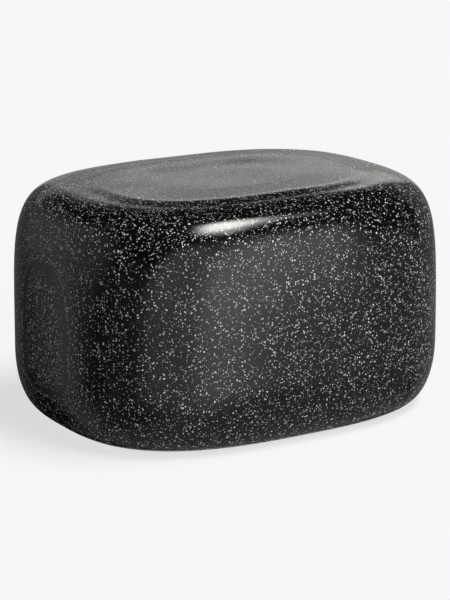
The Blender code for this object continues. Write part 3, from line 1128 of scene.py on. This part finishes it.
@dataclass
class Leveller:
    """One adjustable foot: insert nut, stem, pad and sole. Radii and heights are in metres."""

    corner: str
    columns: int = 60
    rod_radius: float = 0.0039
    thread_pitch: float = 0.00125
    thread_depth: float = 0.0007
    rings_per_pitch: int = 7
    lead_in: float = 0.0015  # length of the rod's chamfered end
    button_radius: float = 0.0070
    button_height: float = 0.0025
    hexagon_half: float = 0.0065  # half the width across its flats
    hexagon_z: tuple[float, float] = (0.0057, 0.0097)  # its ends, above the stem's foot
    hexagon_bevel: tuple[float, float] = (0.0069, 1.6)  # radius of the bevelled ends, and its rise inwards
    pad_recess: tuple[float, float] = (0.0073, 0.0031)  # radius and depth of the button's seat
    pad_neck: float = 0.0042  # radius of the hole over the seat
    pad_skirt: float = 0.0027  # height of the upright rim
    pad_top: float = 0.0100  # radius of the flat top
    sole_bevel: float = 0.0008
    groove_spacing: float = 0.003
    groove_depth: float = 0.0004
    insert_bore: float = 0.0042
    insert_barrel: float = 0.0060
    insert_flange: float = 0.0015  # thickness

    def axis(self) -> Array:
        """The leveller's axis in plan."""
        low, high = box_of(f"leveller_stem_{self.corner}")
        return (low + high)[:2] / 2

    def turned(self, node: str, section: Array, softness: float) -> Surface:
        """A closed section turned about the leveller's axis, standing where a CAD node stands.

        Args:
            node: the node.
            section: (n, 2) radius and height above the node's foot.
            softness: how far the section's corners are rounded.

        Returns:
            The vertices and faces.
        """
        grid = lathe(rounded(section, softness, closed=True), self.columns, self.axis())
        grid[..., 2] += box_of(node)[0][2]
        return grid.reshape(-1, 3), [band_faces(grid.shape[0], self.columns, wrap_rows=True)]

    def build_sole(self, material: bpy.types.Material) -> None:
        """A rubber disc whose tread face carries ring grooves, which are the crests of a sine of the radius.

        Args:
            material: the rubber.
        """
        node = f"leveller_sole_{self.corner}"
        low, high = box_of(node)
        radius, thick = (high[0] - low[0]) / 2, high[2] - low[2]
        r = np.linspace(0.001, radius - self.sole_bevel, 60)
        crest = blend_step((np.sin(r * FULL_TURN / self.groove_spacing) - 0.35) / 0.4)
        tread = np.stack([r, self.groove_depth * crest], axis=1)
        rim = rounded(np.array([(r[-1], 0.0), (radius, 0.0), (radius, thick), (0.002, thick)]), 0.0005)
        grid = lathe(np.vstack([tread, rim[1:]]), self.columns, self.axis())
        grid[..., 2] += low[2]
        ends = (np.array([*self.axis(), z]) for z in (low[2], high[2]))
        self.put(node, "rubber", capped(grid, *ends), f"leveller_foot_{self.corner}", material)

    def build_pad(self, material: bpy.types.Material) -> None:
        """A nylon foot with a coned top, rounded edges and a stepped bore for the stem's button.

        Args:
            material: the nylon.
        """
        node = f"leveller_pad_{self.corner}"
        low, high = box_of(node)
        radius, height = (high[0] - low[0]) / 2, high[2] - low[2]
        seat, ledge = self.pad_recess
        neck = self.pad_neck
        bore = [(neck, height), (neck, ledge), (seat, ledge)]
        outside = [(seat, 0.0), (radius, 0.0), (radius, self.pad_skirt), (self.pad_top, height)]
        surface = self.turned(node, np.array(outside + bore), 0.0006)
        self.put(node, "black_nylon", surface, f"leveller_foot_{self.corner}", material)

    def build_stem(self, material: bpy.types.Material) -> None:
        """Button, neck, chamfered hexagon and threaded rod in one turned surface.

        On the hexagon the radius is the smaller of a cone's and the six flats', which is the half width
        over the cosine of the angle from the nearest flat's middle. On the rod it dips by the thread's
        depth along a helix of the thread's pitch.

        Args:
            material: the plating.
        """
        node = f"leveller_stem_{self.corner}"
        low, high = box_of(node)
        height = high[2] - low[2]
        foot, top = self.hexagon_z
        neck = self.rod_radius * 0.97
        button = [(0.001, 0.0), (self.button_radius, 0.0), (self.button_radius, self.button_height)]
        bottom = rounded(np.array([*button, (neck, self.button_height), (neck, foot)]), 0.0004)
        a = turns(self.columns)
        nut_z = np.linspace(foot, top, 14)
        flats = self.hexagon_half / np.cos((a + math.pi / 6) % (math.pi / 3) - math.pi / 6)
        end_radius, slope = self.hexagon_bevel
        cone = end_radius + np.minimum(nut_z - foot, top - nut_z)[:, None] * slope
        rod_z = np.arange(top, height, self.thread_pitch / self.rings_per_pitch)
        cut = self.thread_depth * (1 - thread_wave(rod_z[:, None], self.thread_pitch, self.columns))
        chamfer = 0.7 + 0.3 * np.clip((height - rod_z) / self.lead_in, 0.35, 1.0)[:, None]
        rod = (self.rod_radius - cut) * chamfer
        radii = np.vstack([np.repeat(bottom[:, :1], self.columns, 1), np.minimum(flats[None], cone), rod])
        z = np.concatenate([bottom[:, 1], nut_z, rod_z])[:, None]
        x, y = self.axis()[0] + radii * np.cos(a), self.axis()[1] + radii * np.sin(a)
        grid = np.stack([x, y, np.broadcast_to(low[2] + z, x.shape)], axis=-1)
        ends = (np.array([*self.axis(), end]) for end in (low[2], high[2]))
        self.put(node, "zinc_steel", capped(grid, *ends), f"leveller_screw_{self.corner}", material)

    def build_insert(self, material: bpy.types.Material) -> None:
        """A flanged nut with a plain barrel.

        Args:
            material: the brass.
        """
        node = f"insert_nut_{self.corner}"
        low, high = box_of(node)
        flange, length = (high[0] - low[0]) / 2, high[2] - low[2]
        bore, barrel, thick = self.insert_bore, self.insert_barrel, self.insert_flange
        rim = [(bore, 0.0), (flange, 0.0), (flange, thick)]
        section = np.array([*rim, (barrel, thick), (barrel, length), (bore, length)])
        self.put(node, "brass", self.turned(node, section, 0.0004), TABLE_BODY, material)

    @staticmethod
    def put(node: str, slot: str, surface: Surface, body: str, material: bpy.types.Material) -> None:
        """Adds a piece in place of a CAD node.

        Args:
            node: the node that it stands for.
            slot: the record's material slot; it is not used.
            surface: its vertices and faces.
            body: the body that it rides on.
            material: its finish.
        """
        made = add_piece(f"{node}_detailed", surface, body, material)
        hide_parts(node)


# ---------------------------------------------------------------- studio


@dataclass(frozen=True)
class SoftPanel:
    """A far light with soft edges and rounded corners, seen from the table. Angles are in degrees."""

    azimuth: float  # 0 is towards the front, 90 towards the right
    elevation: float
    half_width: float
    half_height: float
    level: float
    edge: float = 0.15  # softness, as a share of the panel
    roll: float = 0.0
    corner: float = 4.0  # power of the outline: 2 is an ellipse, and more is squarer
    fade: tuple[float, float] = (-90.0, -89.0)  # elevations between which it comes up to full strength
    GRAZING: ClassVar[float] = 0.02  # the cosine under which a direction counts as behind the panel

    def light(self, bench: Bench, direction: Link) -> Value:
        """Brightness of the panel in a direction.

        The direction's slopes across and up the panel are divided by its half sizes, and the panel ends where
        the sum of their powers reaches 1.

        Args:
            bench: the world's bench.
            direction: the direction looked in.

        Returns:
            The brightness.
        """
        a, e, r = (math.radians(v) for v in (self.azimuth, self.elevation, self.roll))
        middle = Vector((math.sin(a) * math.cos(e), -math.cos(a) * math.cos(e), math.sin(e)))
        level = Vector((math.cos(a), math.sin(a), 0.0))
        upward = middle.cross(level) * -1
        across = level * math.cos(r) + upward * math.sin(r)
        along = upward * math.cos(r) - level * math.sin(r)
        ahead = bench.dot(direction, tuple(middle))
        safe = ahead.at_least(self.GRAZING)
        u = abs(bench.dot(direction, tuple(across)) / safe) * (1 / math.tan(math.radians(self.half_width)))
        v = abs(bench.dot(direction, tuple(along)) / safe) * (1 / math.tan(math.radians(self.half_height)))
        outline = (u**self.corner + v**self.corner) ** (1 / self.corner)
        risen = bench.parts(direction)[2].ease(*(math.sin(math.radians(v)) for v in self.fade))
        shape = (1 - outline.ease(1 - self.edge, 1 + self.edge)) * ahead.math("GREATER_THAN", self.GRAZING)
        return shape * risen * self.level


@dataclass
class Studio:
    """Floor, backdrop, soft light and camera."""

    panels: tuple[SoftPanel, ...] = (
        # a strip lamp high on the front right, its hot end, and its dim tail
        SoftPanel(37, 65, 16, 9, 6.2, 0.5, -29.0, 4.0),
        SoftPanel(52, 69, 16, 6.5, 14.0, 0.55, -11.0, 2.0),
        SoftPanel(76, 58.5, 7, 3, 1.2, 0.6, -15.0, 2.0),
        # two tall screens in front, and one on the front left that reaches the ground
        SoftPanel(17, 0, 24, 34, 0.75, 0.6, -2.0, 8.0, (-24.0, -8.0)),
        SoftPanel(12, -1, 17, 35, 1.0, 0.6, 40.0, 2.0, (-90.0, -5.0)),
        SoftPanel(-39, -22, 17, 60, 0.75, 0.6, 28.0, 3.0, (-37.0, -5.0)),
        # dim walls on the left and the rear left
        SoftPanel(-127, 12, 36, 26, 0.36, 0.6, -20.0, 2.0),
        SoftPanel(-135, -29, 13, 17, 0.2, 0.6, -42.0, 4.0),
        SoftPanel(-98, -36, 60, 18, 0.12, 0.6, -40.0, 8.0),
        # a window in the rear wall, the bright bar over it, and the wall beside it
        SoftPanel(147, 0, 13, 17.2, 0.32, 0.05, -4.0, 5.0),
        SoftPanel(143, 14.4, 8.5, 2.8, 0.55, 0.3, 0.0, 3.0),
        SoftPanel(171, 18, 19, 4, 0.22, 0.2, 0.0, 6.0),
        SoftPanel(175, 3, 23, 23, 0.11, 0.6, 10.0, 8.0),
        # dim walls on the right
        SoftPanel(61, -6, 24, 14, 0.23, 0.5, 25.0, 3.0),
        SoftPanel(115, -3, 27, 32, 0.19, 0.15, 23.0, 8.0),
        # light thrown up by the floor
        SoftPanel(21, -65, 48, 48, 0.33, 0.6, -17.0, 8.0),
    )
    lamp_colour: Colour = (1.015, 1.0, 0.975)
    backdrop: float = 0.985
    floor_half: float = 6.0
    azimuth: float = -31.58
    elevation: float = 14.65
    distance: float = 3.37
    lens: float = 138.76
    shift: tuple[float, float] = (-0.0019, -0.0201)

    def light(self) -> None:
        """A world of soft panels that the table reflects, while the camera sees an even pale backdrop."""
        world = bpy.data.worlds.new("studio")
        bpy.context.scene.world = world
        world.use_nodes = True
        bench = Bench(world.node_tree)
        direction = bench.node("ShaderNodeTexCoord", {}, {}).outputs["Generated"]
        total: Link = 0.0
        for panel in self.panels:
            total = panel.light(bench, direction) + total
        path = bench.node("ShaderNodeLightPath", {}, {})
        seen = Value(bench, path.outputs["Is Camera Ray"])
        strength = total * (1 - seen) + seen * self.backdrop
        colour = bench.mix(seen, self.lamp_colour, (1.0, 1.0, 1.0))
        shader = bench.node("ShaderNodeBackground", {}, {"Color": colour, "Strength": strength})
        bench.node("ShaderNodeOutputWorld", {}, {"Surface": shader.outputs[0]})

    def floor(self) -> None:
        """A pale floor that the camera sees and that catches the table's soft shadow."""
        half = self.floor_half
        corners = [(-half, -half, 0), (half, -half, 0), (half, half, 0), (-half, half, 0)]
        mesh = bpy.data.meshes.new("floor")
        mesh.from_pydata(corners, [], [(0, 1, 2, 3)])
        mesh.materials.append(StudioFloor("pale_floor").make())
        made = bpy.data.objects.new("floor", mesh)
        bpy.context.scene.collection.objects.link(made)
        made.visible_glossy = False
        made.visible_diffuse = False
        made.visible_shadow = False

    def camera(self, height: float) -> None:
        """Sets the camera.

        Args:
            height: the height that it looks at.
        """
        data = bpy.data.cameras.new("camera")
        data.lens = self.lens
        data.shift_x, data.shift_y = self.shift
        made = bpy.data.objects.new("camera", data)
        a, e = math.radians(self.azimuth), math.radians(self.elevation)
        back = Vector((math.sin(a) * math.cos(e), -math.cos(a) * math.cos(e), math.sin(e)))
        made.location = Vector((0, 0, height)) + back * self.distance
        made.rotation_euler = (-back).to_track_quat("-Z", "Y").to_euler()
        bpy.context.scene.collection.objects.link(made)
        bpy.context.scene.camera = made

    def build(self, height: float) -> None:
        """Floor, light, camera and plain tone mapping.

        Args:
            height: the height that the camera looks at.
        """
        self.light()
        self.floor()
        self.camera(height)
        bpy.context.scene.view_settings.view_transform = "Standard"


def main() -> None:
    logging.basicConfig(level=logging.INFO, format="%(message)s")
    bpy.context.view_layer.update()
    shell = MouldedShell()
    gelcoat = SpeckledGelcoat("speckled_gelcoat", shell.rim_half(), float(shell.high[2]), shell.plan_power)
    shell.build(gelcoat.make())
    FootTrim(shell).build(TrimmedEdge("trimmed_edge").make())
    TimberCore().build()
    zinc = HardwareMetal("zinc_plating", Plating.ZINC).make()
    brass = HardwareMetal("turned_brass", Plating.BRASS).make()
    nylon, rubber = MouldedNylon("moulded_nylon").make(), SoleRubber("sole_rubber").make()
    for place in (*CORNERS, *SIDES):
        WoodScrew(f"block_screw_{place}").build(zinc)
    for side in SIDES:
        WoodScrew(f"rib_screw_{side}").build(zinc)
    for corner in CORNERS:
        leveller = Leveller(corner)
        leveller.build_insert(brass)
        leveller.build_stem(zinc)
        leveller.build_pad(nylon)
        leveller.build_sole(rubber)
    Studio().build((shell.low[2] + shell.high[2]) / 2)


if __name__ == "__main__":
    main()
